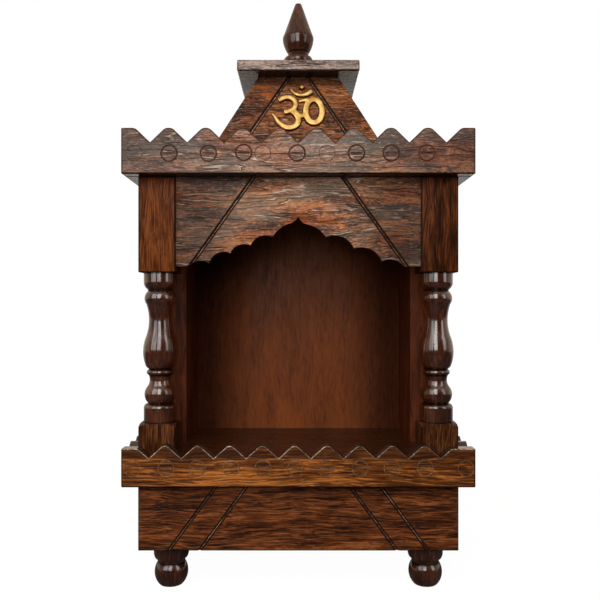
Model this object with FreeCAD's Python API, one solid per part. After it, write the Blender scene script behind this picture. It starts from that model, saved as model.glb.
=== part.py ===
"""Pooja mandir: a small wooden home shrine on turned feet, with turned pillars, a scalloped arch,
toothed ledge and cornice boards, a hipped roof with a cap and finial, and a brass emblem.

Millimetres. X runs left to right, Y from front to back, Z up from the surface the shrine stands on.
The origin is on that surface, under the middle of the whole shrine.
"""
import FreeCAD, Part
import math
import os

os.makedirs("parts", exist_ok=True)
Vector = FreeCAD.Vector

# Overall sizes
toothed_width = 306.0        # across the toothed ledge and cornice boards
shrine_depth = 165.0         # front of those boards to the back of the body
trim_thickness = 12.0        # toothed boards, nailed on the front and both sides

# Base box on bun feet
foot_height = 36.8
foot_radius = 15.8
base_height = 69.2           # panels between the feet and the shrine floor
base_thickness = 12.0
bottom_thickness = 10.0
foot_inset_x = 25.3          # foot centre from the side of the body
foot_inset_y = 22.2          # foot centre from the front or back of the body

# Shrine
floor_thickness = 12.0
shrine_height = 248.1        # floor to ceiling
wall_thickness = 19.0
wall_inset = 11.5            # side walls from the sides of the body
wall_setback = 72.0          # front edge of the side walls behind the front of the body
back_thickness = 8.0
ceiling_thickness = 12.0

# Pillars
post_square = 32.6
lower_block_height = 30.0
upper_block_height = 84.4
shoulder_height = 5.0

# Arch panel between the upper blocks of the pillars
arch_thickness = 12.0
arch_setback = 3.0           # behind the front of the pillars
arch_height = 79.2
arch_rise = 43.6             # pointed crown above the lower edge

# Toothed ledge around the floor
ledge_height = 36.0
ledge_drop = 10.5            # below the underside of the floor
ledge_pitch = 28.0
ledge_side_pitch = 24.0
ledge_tooth_depth = 10.7
ledge_tooth_flat = 4.0
ledge_shift = 11.0           # the notch nearest the middle is this far to the right
ledge_end_drop = 2.6         # the front board's ends and the side boards are this much lower

# Toothed cornice around the ceiling
cornice_height = 39.9
cornice_pitch = 32.0
cornice_tooth_depth = 12.5
cornice_tooth_flat = 6.0
cornice_shift = 0.0

tooth_corner = 10.0          # least plain length left at the end of a toothed front board
clearance = 1.0              # cutters reach this far past the wood they cut

# Roof, a hollow hipped frustum of four mitred boards
roof_side_inset = 66.0       # its foot from the ends of the cornice
roof_front_inset = 22.0      # its foot from the front of the cornice, and from the back
roof_height = 86.4
roof_top_width = 74.6
roof_top_depth = 75.0
roof_thickness = 10.0        # measured level

cap_overhang = 18.2
cap_thickness = 10.0
cap_round = 1.5
finial_height = 74.9
finial_radius = 15.6

# Scored lines
groove_width = 3.0
groove_depth = 1.6
outer_line_inset = 26.8      # from the side of the body at the foot of the base
inner_line_inset = 54.0
base_line_lean = 51.0        # how far the base lines move inwards over the height of the base
arch_line_inset = 12.4       # from the pillars at the lower edge of the arch panel
arch_line_head = 39.5        # from the middle at its top edge
roof_line_inset = 24.0       # from the roof's lower corners
roof_line_head = 8.7         # from the middle at the roof's top

# Brass emblem on the roof's front
emblem_width = 48.0
emblem_thickness = 2.6
emblem_stroke = 3.8
emblem_rise = 56.0           # emblem centre above the roof's lower edge, measured up the board

# Places that follow from the sizes
front = -shrine_depth / 2
back = shrine_depth / 2
body_front = front + trim_thickness
body_half = toothed_width / 2 - trim_thickness
niche_half = body_half - wall_inset - wall_thickness
base_top = foot_height + base_height
floor_top = base_top + floor_thickness
ceiling_low = floor_top + shrine_height
ceiling_top = ceiling_low + ceiling_thickness
roof_top = ceiling_top + roof_height
cap_top = roof_top + cap_thickness
post_x = body_half - post_square / 2
post_y = body_front + post_square / 2
roof_width = toothed_width - 2 * roof_side_inset
roof_depth = shrine_depth - 2 * roof_front_inset
wall_front = body_front + wall_setback
panel_front = back - back_thickness


def box(x0, x1, y0, y1, z0, z1):
    """A board between two corners."""
    return Part.makeBox(x1 - x0, y1 - y0, z1 - z0, Vector(x0, y0, z0))


def prism(points, along):
    """A straight bar whose section is the polygon through the points."""
    outline = Part.makePolygon(points + points[:1])
    return Part.Face(outline).extrude(along)


def v_groove(start, end, outward):
    """A V-shaped cutter along a line on a face, run out past both ends of the line."""
    run_out = 3 * groove_width
    along = (end - start).normalize()
    across = along.cross(outward).normalize()
    first = start - along * run_out
    lift = outward * groove_depth
    section = [first - outward * groove_depth]
    section.append(first + across * groove_width + lift)
    section.append(first - across * groove_width + lift)
    return prism(section, along * (end.distanceToPoint(start) + 2 * run_out))


def line(start, end):
    """A straight edge of an outline in the XZ plane."""
    return Part.makeLine(Vector(start[0], 0, start[1]), Vector(end[0], 0, end[1]))


def arc(start, middle, end):
    """An arc of an outline in the XZ plane, through three points."""
    points = [Vector(x, 0, z) for x, z in (start, middle, end)]
    return Part.Arc(*points).toShape()


def turned(edges):
    """A turned piece about the Z axis. The outline runs from its foot to its top, away from the axis."""
    foot = edges[0].Vertexes[0].Point
    top = edges[-1].Vertexes[-1].Point
    closing = [Part.makeLine(top, Vector(0, 0, top.z))]
    closing.append(Part.makeLine(Vector(0, 0, top.z), Vector(0, 0, foot.z)))
    closing.append(Part.makeLine(Vector(0, 0, foot.z), foot))
    face = Part.Face(Part.Wire(edges + closing))
    return face.revolve(Vector(0, 0, 0), Vector(0, 0, 1), 360)


def moved(shape, x, y, z):
    """A copy of the shape, moved."""
    copy = shape.copy()
    copy.translate(Vector(x, y, z))
    return copy


def along_profile(radius, height, lift=0.0):
    """Turns shares of a turned piece's radius and height into a point of its outline."""
    return lambda r_share, z_share: (r_share * radius, lift + z_share * height)


def foot():
    """A bun foot: a ring under the base, a waist and a flattened ball."""
    at = along_profile(foot_radius, foot_height)
    pad, ball, waist_low = at(0.67, 0.0), at(0.955, 0.32), at(0.785, 0.54)
    waist_high, ring_low, ring_high = at(0.785, 0.59), at(0.925, 0.655), at(1.0, 0.81)
    edges = [arc(pad, ball, waist_low)]
    edges.append(line(waist_low, waist_high))
    edges.append(arc(waist_high, at(0.825, 0.63), ring_low))
    edges.append(arc(ring_low, at(0.985, 0.72), ring_high))
    edges.append(line(ring_high, at(1.0, 1.0)))
    return turned(edges)


def base_panel():
    """The front of the base, with two scored lines at each end that lean inwards."""
    panel = box(-body_half, body_half, body_front, body_front + base_thickness, foot_height, base_top)
    for side in (-1, 1):
        for inset in (outer_line_inset, inner_line_inset):
            foot_x = body_half - inset
            start = Vector(side * foot_x, body_front, foot_height)
            end = Vector(side * (foot_x - base_line_lean), body_front, base_top)
            panel = panel.cut(v_groove(start, end, Vector(0, -1, 0)))
    return panel


def base_parts():
    """The other boards of the base box, and the shrine floor on top of it."""
    inner_front = body_front + base_thickness
    inner_back = back - base_thickness
    inner_half = body_half - base_thickness
    low, high = foot_height, base_top
    return {
        "base_back": box(-body_half, body_half, inner_back, back, low, high),
        "base_left": box(-body_half, -inner_half, inner_front, inner_back, low, high),
        "base_right": box(inner_half, body_half, inner_front, inner_back, low, high),
        "base_bottom": box(-inner_half, inner_half, inner_front, inner_back, low, low + bottom_thickness),
        "shrine_floor": box(-body_half, body_half, body_front, back, base_top, floor_top),
    }


def notch(pitch, flat, tooth_depth):
    """A cutter for the gap between two teeth of a board along X, its point at the origin."""
    half = (pitch - flat) / 2
    top = tooth_depth + clearance
    half_top = half * top / tooth_depth
    points = [Vector(0, -clearance, 0), Vector(half_top, -clearance, top), Vector(-half_top, -clearance, top)]
    return prism(points, Vector(0, trim_thickness + 2 * clearance, 0))


def notch_places(pitch, flat, shift):
    """The notches of a front board, from left to right."""
    reach = toothed_width / 2 - tooth_corner - (pitch - flat) / 2
    first = math.ceil((-reach - shift) / pitch)
    last = math.floor((reach - shift) / pitch)
    return [shift + index * pitch for index in range(first, last + 1)]


def front_toothed(low, height, pitch, tooth_depth, flat, shift, end_drop):
    """A toothed board across the front, its plain ends lower than its teeth."""
    half_width = toothed_width / 2
    high = low + height
    board = box(-half_width, half_width, front, body_front, low, high)
    cutter = notch(pitch, flat, tooth_depth)
    places = notch_places(pitch, flat, shift)
    for place in places:
        board = board.cut(moved(cutter, place, front, high - tooth_depth))
    if end_drop == 0:
        return board
    for end, place in ((-half_width - clearance, places[0]), (half_width + clearance, places[-1])):
        x0, x1 = sorted((end, place))
        above = box(x0, x1, front - clearance, body_front + clearance, high - end_drop, high + clearance)
        board = board.cut(above)
    return board


def side_toothed(side, low, height, pitch, tooth_depth, flat):
    """A toothed board along one side, from behind the front board to the back."""
    x0, x1 = sorted((side * body_half, side * toothed_width / 2))
    board = box(x0, x1, body_front, back, low, low + height)
    cutter = notch(pitch, flat, tooth_depth)
    cutter.rotate(Vector(0, 0, 0), Vector(0, 0, 1), 90)
    half = (pitch - flat) / 2
    count = int((back - body_front - flat) // pitch)
    for index in range(count):
        place = body_front + half + index * pitch
        board = board.cut(moved(cutter, x1, place, low + height - tooth_depth))
    return board


def toothed_boards():
    """The ledge around the floor and the cornice around the ceiling."""
    ledge_low = base_top - ledge_drop
    ledge = (ledge_low, ledge_height, ledge_pitch, ledge_tooth_depth, ledge_tooth_flat)
    side_height = ledge_height - ledge_end_drop
    side_tooth_depth = ledge_tooth_depth - ledge_end_drop
    ledge_side = (ledge_low, side_height, ledge_side_pitch, side_tooth_depth, ledge_tooth_flat)
    cornice = (ceiling_low, cornice_height, cornice_pitch, cornice_tooth_depth, cornice_tooth_flat)
    return {
        "ledge_front": front_toothed(*ledge, ledge_shift, ledge_end_drop),
        "ledge_left": side_toothed(-1, *ledge_side),
        "ledge_right": side_toothed(1, *ledge_side),
        "cornice_front": front_toothed(*cornice, cornice_shift, 0),
        "cornice_left": side_toothed(-1, *cornice),
        "cornice_right": side_toothed(1, *cornice),
    }


def square_block(low, high):
    """A square length of a pillar, centred on the axis."""
    half = post_square / 2
    return box(-half, half, -half, half, low, high)


def lower_block():
    """The pillar's foot block, its top corners turned down to a shoulder."""
    top = lower_block_height
    half = post_square / 2
    corner = 1.5 * half
    start = (corner, 0.0)
    shoulder = (corner, top - shoulder_height)
    middle = (1.26 * half, top - 0.3 * shoulder_height)
    end = (0.93 * half, top)
    dome = turned([line(start, shoulder), arc(shoulder, middle, end)])
    return square_block(0.0, top).common(dome)


def pillar_turning():
    """The turned length between the blocks: collar, bead, cove, ring, vase, bead and collar."""
    low = lower_block_height
    at = along_profile(post_square / 2, shrine_height - upper_block_height - low, low)
    collar_low, groove_low, groove_high = at(0.9, 0.094), at(0.70, 0.123), at(0.665, 0.127)
    bead_high, cove_high = at(0.69, 0.24), at(0.64, 0.316)
    ring_high, vase_low, hip = at(0.63, 0.352), at(0.65, 0.359), at(0.82, 0.384)
    inflection, neck, flare = at(0.76, 0.58), at(0.62, 0.70), at(0.76, 0.792)
    upper_bead, upper_groove, collar_high = at(0.665, 0.88), at(0.69, 0.89), at(0.9, 0.94)
    edges = [line(at(0.9, 0.0), collar_low)]
    edges.append(arc(collar_low, at(0.84, 0.115), groove_low))
    edges.append(line(groove_low, groove_high))
    edges.append(arc(groove_high, at(0.86, 0.181), bead_high))
    edges.append(arc(bead_high, at(0.58, 0.287), cove_high))
    edges.append(arc(cove_high, at(0.74, 0.334), ring_high))
    edges.append(line(ring_high, vase_low))
    edges.append(arc(vase_low, at(0.75, 0.368), hip))
    edges.append(arc(hip, at(0.935, 0.455), inflection))
    edges.append(arc(inflection, neck, flare))
    edges.append(arc(flare, at(0.86, 0.838), upper_bead))
    edges.append(line(upper_bead, upper_groove))
    edges.append(arc(upper_groove, at(0.84, 0.91), collar_high))
    edges.append(line(collar_high, at(0.9, 1.0)))
    return turned(edges)


def pillar():
    """One pillar in one piece, its axis on Z and its foot at zero."""
    upper = square_block(shrine_height - upper_block_height, shrine_height)
    return lower_block().fuse(pillar_turning()).fuse(upper).removeSplitter()


def arch_panel():
    """The panel between the upper blocks, its lower edge cut by hand to lobes and a pointed crown."""
    half = body_half - post_square
    low = ceiling_low - arch_height

    def at(x_share, rise_share):
        return (x_share * half, low + rise_share * arch_rise)

    left, right, crown = at(-0.894, 0.0), at(0.859, 0.0), at(0.0, 1.0)
    cusps = [left, at(-0.728, 0.06), at(-0.553, 0.268), at(-0.387, 0.42), at(-0.208, 0.596), at(-0.068, 0.87)]
    cusps += [crown, at(0.067, 0.853), at(0.223, 0.592), at(0.453, 0.365), at(0.683, 0.101), right]
    tops = [at(-0.826, 0.112), at(-0.66, 0.27), at(-0.489, 0.431), at(-0.323, 0.601), at(-0.151, 0.766)]
    tops += [at(-0.03, 0.917), at(0.028, 0.908), at(0.16, 0.761), at(0.356, 0.601), at(0.585, 0.353)]
    tops += [at(0.78, 0.135)]
    corners = [right, (half, low), (half, ceiling_low), (-half, ceiling_low), (-half, low), left]
    edges = [arc(start, top, end) for start, top, end in zip(cusps, tops, cusps[1:])]
    edges += [line(start, end) for start, end in zip(corners, corners[1:])]
    face_y = body_front + arch_setback
    panel = moved(Part.Face(Part.Wire(edges)).extrude(Vector(0, arch_thickness, 0)), 0, face_y, 0)
    for side in (-1, 1):
        start = Vector(side * (half - arch_line_inset), face_y, low)
        end = Vector(side * arch_line_head, face_y, ceiling_low)
        panel = panel.cut(v_groove(start, end, Vector(0, -1, 0)))
    return panel


def shrine_parts():
    """Side walls, back panel and ceiling."""
    outer = niche_half + wall_thickness
    return {
        "side_wall_left": box(-outer, -niche_half, wall_front, panel_front, floor_top, ceiling_low),
        "side_wall_right": box(niche_half, outer, wall_front, panel_front, floor_top, ceiling_low),
        "back_panel": box(-outer, outer, panel_front, back, floor_top, ceiling_low),
        "ceiling": box(-body_half, body_half, body_front, back, ceiling_low, ceiling_top),
    }


def roof_corner(z_share, inward, x_side, y_side):
    """A corner of the roof: z_share 0 at the ceiling and 1 at the cap, inward from the outer face."""
    half_x = (roof_width + z_share * (roof_top_width - roof_width)) / 2 - inward
    half_y = (roof_depth + z_share * (roof_top_depth - roof_depth)) / 2 - inward
    return Vector(x_side * half_x, y_side * half_y, ceiling_top + z_share * roof_height)


def flat_sided(lower, upper):
    """A solid with flat faces between two level outlines that have the same number of corners."""
    outlines = [lower[::-1], upper]
    for index in range(len(lower)):
        after = (index + 1) % len(lower)
        outlines.append([lower[index], lower[after], upper[after], upper[index]])
    faces = [Part.Face(Part.makePolygon(outline + outline[:1])) for outline in outlines]
    return Part.makeSolid(Part.makeShell(faces))


def roof_board(first, second):
    """One mitred roof board between two corners, each named by its x and y side."""
    rings = []
    for z_share in (0, 1):
        outer = [roof_corner(z_share, 0, *first), roof_corner(z_share, 0, *second)]
        inner = [roof_corner(z_share, roof_thickness, *second), roof_corner(z_share, roof_thickness, *first)]
        rings.append(outer + inner)
    return flat_sided(*rings)


def roof_normal():
    """The outward direction of the roof's front board."""
    lean = (roof_depth - roof_top_depth) / 2
    return Vector(0, -roof_height, lean).normalize()


def roof_front():
    """The roof's front board, with its scored lines."""
    board = roof_board((-1, -1), (1, -1))
    for side in (-1, 1):
        start = Vector(side * (roof_width / 2 - roof_line_inset), -roof_depth / 2, ceiling_top)
        end = Vector(side * roof_line_head, -roof_top_depth / 2, roof_top)
        board = board.cut(v_groove(start, end, roof_normal()))
    return board


def cap_slab():
    """The square slab on the roof, its edges eased."""
    half_x = roof_top_width / 2 + cap_overhang
    half_y = roof_top_depth / 2 + cap_overhang
    slab = box(-half_x, half_x, -half_y, half_y, roof_top, cap_top)
    return slab.makeFillet(cap_round, slab.Edges)


def finial():
    """The turned finial: a disc, a cove, a ring, a neck and a pointed bud."""
    at = along_profile(finial_radius, finial_height)
    disc, disc_top, cove_top = at(1.0, 0.045), at(0.81, 0.093), at(0.78, 0.178)
    ring_top, neck, widest = at(0.81, 0.289), at(0.645, 0.340), at(0.985, 0.52)
    hip, tip = at(0.925, 0.58), at(0.21, 0.985)
    edges = [line(at(1.0, 0.0), disc)]
    edges.append(arc(disc, at(0.95, 0.08), disc_top))
    edges.append(arc(disc_top, at(0.65, 0.132), cove_top))
    edges.append(arc(cove_top, at(0.93, 0.233), ring_top))
    edges.append(arc(ring_top, at(0.70, 0.313), neck))
    edges.append(arc(neck, at(0.875, 0.427), widest))
    edges.append(arc(widest, at(0.972, 0.552), hip))
    edges.append(line(hip, tip))
    edges.append(arc(tip, at(0.165, 0.996), at(0.08, 1.0)))
    return turned(edges)


def arc_stroke(centre, radius, start, end, width):
    """A flat bar bent along an arc, between two angles in degrees."""
    middle = Vector(centre[0], centre[1], 0)
    upward = Vector(0, 0, 1)
    outer = Part.makeCylinder(radius + width / 2, emblem_thickness, middle, upward, end - start)
    inner = Part.makeCylinder(radius - width / 2, emblem_thickness, middle)
    bar = outer.cut(inner)
    bar.rotate(middle, upward, start)
    return bar


def tapered_bar(start, end, start_width, end_width):
    """A flat straight bar whose width changes from one end to the other."""
    first = Vector(start[0], start[1], 0)
    last = Vector(end[0], end[1], 0)
    across = (last - first).cross(Vector(0, 0, 1)).normalize()
    outline = [first + across * (start_width / 2), last + across * (end_width / 2)]
    outline += [last - across * (end_width / 2), first - across * (start_width / 2)]
    return prism(outline, Vector(0, 0, emblem_thickness))


def oval(centre, half_width, half_height):
    """A flat upright oval plate."""
    flat = Part.Ellipse(Vector(0, 0, 0), half_height, half_width).toShape()
    flat.rotate(Vector(0, 0, 0), Vector(0, 0, 1), 90)
    plate = Part.Face(Part.Wire([flat])).extrude(Vector(0, 0, emblem_thickness))
    return moved(plate, centre[0], centre[1], 0)


def crescent(unit):
    """The moon over the sign: a disc less a larger one, cut square at its heavy end."""
    lower = Part.makeCylinder(13.4 * unit, emblem_thickness, Vector(3.9, 23.6, 0) * unit)
    upper = Part.makeCylinder(13.6 * unit, emblem_thickness, Vector(2.1, 27.0, 0) * unit)
    keep = Part.makeBox(40 * unit, 13.2 * unit, emblem_thickness, Vector(-24.6, 5.6, 0) * unit)
    return lower.cut(upper).common(keep)


def emblem():
    """The Om sign, drawn flat on a grid 48 squares wide, then laid on the roof's front board."""
    unit = emblem_width / 48
    stroke = emblem_stroke

    def at(x, y):
        return (x * unit, y * unit)

    loop = at(14.3, -3.4)
    strokes = [
        arc_stroke(at(-9.5, -0.9), 12.15 * unit, 90, 136, stroke),
        arc_stroke(at(-9.5, 3.9), 7.35 * unit, -98, 90, stroke),
        tapered_bar(at(-9.2, -3.4), at(-13.2, -4.4), stroke, 0.9 * stroke),
        arc_stroke(at(-8.3, -11.9), 8.2 * unit, -90, 84, 1.1 * stroke),
        arc_stroke(at(-8.3, -10.2), 9.9 * unit, 216, 270, 1.1 * stroke),
        tapered_bar(at(-15.9, -16.6), at(-23.7, -5.8), 1.05 * stroke, 0.3 * stroke),
        tapered_bar(at(-5.6, -2.4), at(0.4, -7.2), 0.8 * stroke, 0.8 * stroke),
        arc_stroke(at(3.0, -3.6), 4.5 * unit, 215, 335, 0.8 * stroke),
        oval(loop, 9.7 * unit, 14.2 * unit).cut(oval(loop, 5.1 * unit, 9.5 * unit)),
        tapered_bar(at(0.5, 6.8), at(10.6, 9.0), 0.4 * stroke, stroke),
    ]
    sign = strokes[0].fuse(strokes[1:]).removeSplitter()
    diamond = [at(3.4, 18.2), at(5.5, 20.4), at(3.4, 22.8), at(1.3, 20.4)]
    dot = prism([Vector(x, y, 0) for x, y in diamond], Vector(0, 0, emblem_thickness))
    sign = Part.makeCompound([sign, crescent(unit), dot])
    normal = roof_normal()
    upward = normal.cross(Vector(1, 0, 0))
    rotation = FreeCAD.Rotation(Vector(1, 0, 0), upward, normal, "XYZ")
    seat = Vector(0, -roof_depth / 2, ceiling_top) + upward * emblem_rise
    sign.Placement = FreeCAD.Placement(seat, rotation)
    return sign


def all_parts():
    """Every piece of the shrine, by its name."""
    parts = {"base_front": base_panel()}
    parts.update(base_parts())
    foot_x = body_half - foot_inset_x
    for x_side, x_name in ((-1, "left"), (1, "right")):
        parts["foot_front_" + x_name] = moved(foot(), x_side * foot_x, body_front + foot_inset_y, 0)
        parts["foot_back_" + x_name] = moved(foot(), x_side * foot_x, back - foot_inset_y, 0)
        parts["pillar_" + x_name] = moved(pillar(), x_side * post_x, post_y, floor_top)
    parts.update(toothed_boards())
    parts.update(shrine_parts())
    parts["arch_panel"] = arch_panel()
    parts["roof_front"] = roof_front()
    parts["roof_back"] = roof_board((1, 1), (-1, 1))
    parts["roof_left"] = roof_board((-1, 1), (-1, -1))
    parts["roof_right"] = roof_board((1, -1), (1, 1))
    parts["cap_slab"] = cap_slab()
    parts["finial"] = moved(finial(), 0, 0, cap_top)
    parts["om_emblem"] = emblem()
    return parts


for name, shape in all_parts().items():
    shape.exportStep("parts/" + name + ".step")
    print(name, shape.isValid(), len(shape.Solids), round(shape.Volume / 1000, 2))
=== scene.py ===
# %% [markdown]
# # A pooja mandir in dark stained wood
# A small home shrine stands on four turned feet. Toothed boards run round its base and its
# cornice, two turned pillars carry a scalloped arch, and a sloped roof ends in a turned finial.
# The construction model already has every board at its true size and place, so this lesson
# starts from it and spends its time on what makes wood look like wood: eased edges, stamped
# circles, grain that follows each board, and an uneven coat of dark lacquer.

# %% Load the construction model
import math

import bmesh
import bpy
from mathutils import Matrix, Vector


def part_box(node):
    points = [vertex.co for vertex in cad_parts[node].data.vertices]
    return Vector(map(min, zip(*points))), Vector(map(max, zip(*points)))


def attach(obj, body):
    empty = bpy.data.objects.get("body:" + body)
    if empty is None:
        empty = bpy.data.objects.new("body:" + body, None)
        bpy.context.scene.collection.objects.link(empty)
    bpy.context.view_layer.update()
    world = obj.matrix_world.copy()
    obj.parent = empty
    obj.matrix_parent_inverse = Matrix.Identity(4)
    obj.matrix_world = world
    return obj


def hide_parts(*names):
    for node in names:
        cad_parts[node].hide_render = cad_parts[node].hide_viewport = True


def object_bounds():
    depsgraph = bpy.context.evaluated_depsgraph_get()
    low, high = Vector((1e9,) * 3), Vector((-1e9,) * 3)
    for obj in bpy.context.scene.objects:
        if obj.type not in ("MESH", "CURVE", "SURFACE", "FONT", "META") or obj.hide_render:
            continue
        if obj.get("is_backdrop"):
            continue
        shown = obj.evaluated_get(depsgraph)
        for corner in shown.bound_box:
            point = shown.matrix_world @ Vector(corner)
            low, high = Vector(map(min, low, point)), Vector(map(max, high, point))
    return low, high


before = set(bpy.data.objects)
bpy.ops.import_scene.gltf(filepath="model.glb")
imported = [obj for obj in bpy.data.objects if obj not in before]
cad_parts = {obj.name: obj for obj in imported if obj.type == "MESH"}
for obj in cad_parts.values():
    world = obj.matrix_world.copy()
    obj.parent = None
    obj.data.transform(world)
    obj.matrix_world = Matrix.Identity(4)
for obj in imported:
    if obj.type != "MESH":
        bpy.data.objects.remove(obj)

MM = 0.001
model_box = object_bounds()
print("model box in mm:", [[round(c / MM, 1) for c in corner] for corner in model_box])

# %% [markdown]
# ## The camera
# The photograph was taken from straight ahead and from rather near, at the height of the
# niche. A level camera keeps the upright edges upright, and a small lens shift sets the shrine
# in the picture, where turning the camera would make those edges lean.

# %% Camera
camera_distance = 0.575
front_of_shrine = model_box[0].y

lens = bpy.data.cameras.new("front_view")
lens.sensor_width = 36
lens.lens = 40.04
lens.shift_x = 0.0028
lens.shift_y = 0.0083
camera = bpy.data.objects.new("front_view", lens)
camera.location = (0, front_of_shrine - camera_distance, 0.253)
camera.rotation_euler = (math.radians(90), 0, 0)
bpy.context.scene.collection.objects.link(camera)
bpy.context.scene.camera = camera
print("camera stands at", [round(c, 3) for c in camera.location])

# %% [markdown]
# ## Writing a finish as plain maths
# A finish is a chain of nodes, and long chains are hard to read when every link has a line of
# its own. This small class wraps one socket, so that an expression such as 1 - mask * 0.5 adds
# its own Math nodes, and one method adds every other kind of node.

# %% A socket that can be calculated with
class Flow:
    def __init__(self, tree, socket=None):
        self.tree = tree
        self.socket = socket

    def node(self, kind, settings=None, inputs=None, output=0):
        """Adds a node, makes its settings, then feeds its sockets with values or links."""
        node = self.tree.nodes.new(kind)
        for name, value in (settings or {}).items():
            if name == "stops":
                fill_ramp(node.color_ramp, value)
            else:
                setattr(node, name, value)
        for name, value in (inputs or {}).items():
            if isinstance(value, Flow):
                self.tree.links.new(value.socket, node.inputs[name])
            else:
                node.inputs[name].default_value = value
        return Flow(self.tree, node.outputs[output])

    def maths(self, operation, first, second):
        return self.node("ShaderNodeMath", {"operation": operation}, {0: first, 1: second})

    def __add__(self, other):
        return self.maths("ADD", self, other)

    def __sub__(self, other):
        return self.maths("SUBTRACT", self, other)

    def __rsub__(self, other):
        return self.maths("SUBTRACT", other, self)

    def __mul__(self, other):
        return self.maths("MULTIPLY", self, other)

    __radd__ = __add__
    __rmul__ = __mul__

    def __abs__(self):
        return self.node("ShaderNodeMath", {"operation": "ABSOLUTE"}, {0: self})

    def between(self, low, high):
        """0 below low, 1 above high, and a soft step from one to the other."""
        return self.node(
            "ShaderNodeMapRange",
            {"interpolation_type": "SMOOTHSTEP"},
            {"Value": self, "From Min": low, "From Max": high},
        )

    def mixed(self, first, second, blend="MIX"):
        """A colour that goes from first to second as this value goes from 0 to 1."""
        settings = {"data_type": "RGBA", "blend_type": blend}
        return self.node("ShaderNodeMix", settings, {0: self, 6: first, 7: second}, output=2)


def fill_ramp(ramp, stops):
    while len(ramp.elements) > 1:
        ramp.elements.remove(ramp.elements[-1])
    ramp.elements[0].position, ramp.elements[0].color = stops[0]
    for place, colour in stops[1:]:
        ramp.elements.new(place).color = colour


def screen(red, green, blue):
    """A colour as a screen shows it, from 0 to 255, turned into the light it stands for."""
    def light(level):
        level = level / 255
        return level / 12.92 if level <= 0.04045 else ((level + 0.055) / 1.055) ** 2.4
    return (light(red), light(green), light(blue), 1)


def new_finish(name):
    """An empty material, its tree, and a Flow that new nodes are hung on."""
    material = bpy.data.materials.new(name)
    material.use_nodes = True
    tree = material.node_tree
    tree.nodes.clear()
    return material, Flow(tree)


def close_finish(flow, shader):
    """Ends the tree with its output, and gives the material's surface this shader."""
    end = flow.tree.nodes.new("ShaderNodeOutputMaterial")
    flow.tree.links.new(shader.socket, end.inputs["Surface"])


print("finish helpers are ready")

# %% [markdown]
# ## Stained wood
# The boards are an open-grained wood under a dark stain and an uneven lacquer. Noises drawn out
# along the grain make everything that shows on them: patches about three centimetres across,
# bands of about two, strands as wide as four fibres, fibres and crumbs of about a millimetre, and
# fine dark pores. The contours of one more noise are the dark wrinkles where the grain has
# opened, with a light ridge beside each. The light on those ridges and on some of the crumbs is
# a painted highlight. A slow warp bends them all together, which looks more like wood than
# patterns that ignore each other. The stain, the gloss and the relief all follow the same noises.

# %% Where the grain runs
GRAIN_TURNS = {"x": (0, 0, 0), "y": (0, 0, math.radians(90)), "z": (0, math.radians(90), 0)}


def vector_maths(flow, operation, first, second):
    return flow.node("ShaderNodeVectorMath", {"operation": operation}, {0: first, 1: second})


def object_place(flow):
    return flow.node("ShaderNodeTexCoord", output="Object")


def place_along(flow, axis):
    """One coordinate of the object's own space, in metres."""
    return flow.node("ShaderNodeSeparateXYZ", None, {0: object_place(flow)}, output=axis)


def grain_places(flow, along, shift):
    """Object coordinates in metres, turned so that the grain runs along X, and gently bent."""
    turn = {"Vector": object_place(flow), "Location": shift, "Rotation": GRAIN_TURNS[along]}
    place = flow.node("ShaderNodeMapping", None, turn)
    slow = vector_maths(flow, "MULTIPLY", place, (0.4, 1, 1))
    bend = flow.node(
        "ShaderNodeTexNoise", None, {"Vector": slow, "Scale": 30.0, "Detail": 2.0}, output="Color"
    )
    bend = vector_maths(flow, "SUBTRACT", bend, (0.5, 0.5, 0.5))
    bend = vector_maths(flow, "MULTIPLY", bend, (0.0, 0.014, 0.014))
    return vector_maths(flow, "ADD", place, bend)


def streaks(flow, place, scale, stretch, detail):
    """Noise drawn out along the grain: scale is in features to the metre across it."""
    drawn = vector_maths(flow, "MULTIPLY", place, (1 / stretch, 1, 1))
    inputs = {"Vector": drawn, "Scale": scale, "Detail": detail, "Roughness": 0.6}
    return flow.node("ShaderNodeTexNoise", None, inputs)


# %% What one wood can differ in from another
PLAIN_WOOD = {
    "fibres": 1250.0,  # to the metre, across the grain
    "length": 10.0,    # of a fibre, against its width
    "contrast": 1.0,   # between the stain's three colours
    "wrinkle": 0.3,    # how dark the opened grain is
    "flecks": 0.7,     # how dark the pores are
    "crumble": 0.0,    # how much the surface breaks up into crumbs
    "painted_glints": 0.0,     # how bright the painted highlights on those crumbs and on the ridges are, and how high the ridges stand
    "weather": 0.0,    # how grey some places are: weathered stain, and painted sheen of the lacquer
    "rust": 0.0,       # how orange the stain is in the other places
    "blotch": 0.0,     # how dark the darkest bands are
    "dark_from": 9.0,  # height in metres above which the colour is darker; on the roof it is painted shadow under the slab
    "ends_from": 9.0,  # distance in metres from the middle where the board's ends begin
    "ends": 0.0,       # how much painted shade darkens and dulls the board there
    "sheen": 0.3,      # how much smoother the lacquer is in some places than in others
    "rough": 0.45,     # how rough the lacquer is on the whole
    "relief": 0.6,     # how strongly fibres, wrinkles and crumbs stand out
    "gloss": 1.2,      # the index of refraction of the stained wood, which sets how it shines
    "coat": 0.0,       # a second, smooth layer of lacquer
    "creases": (),     # heights in metres of turned creases, darkened with painted shade
}


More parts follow.
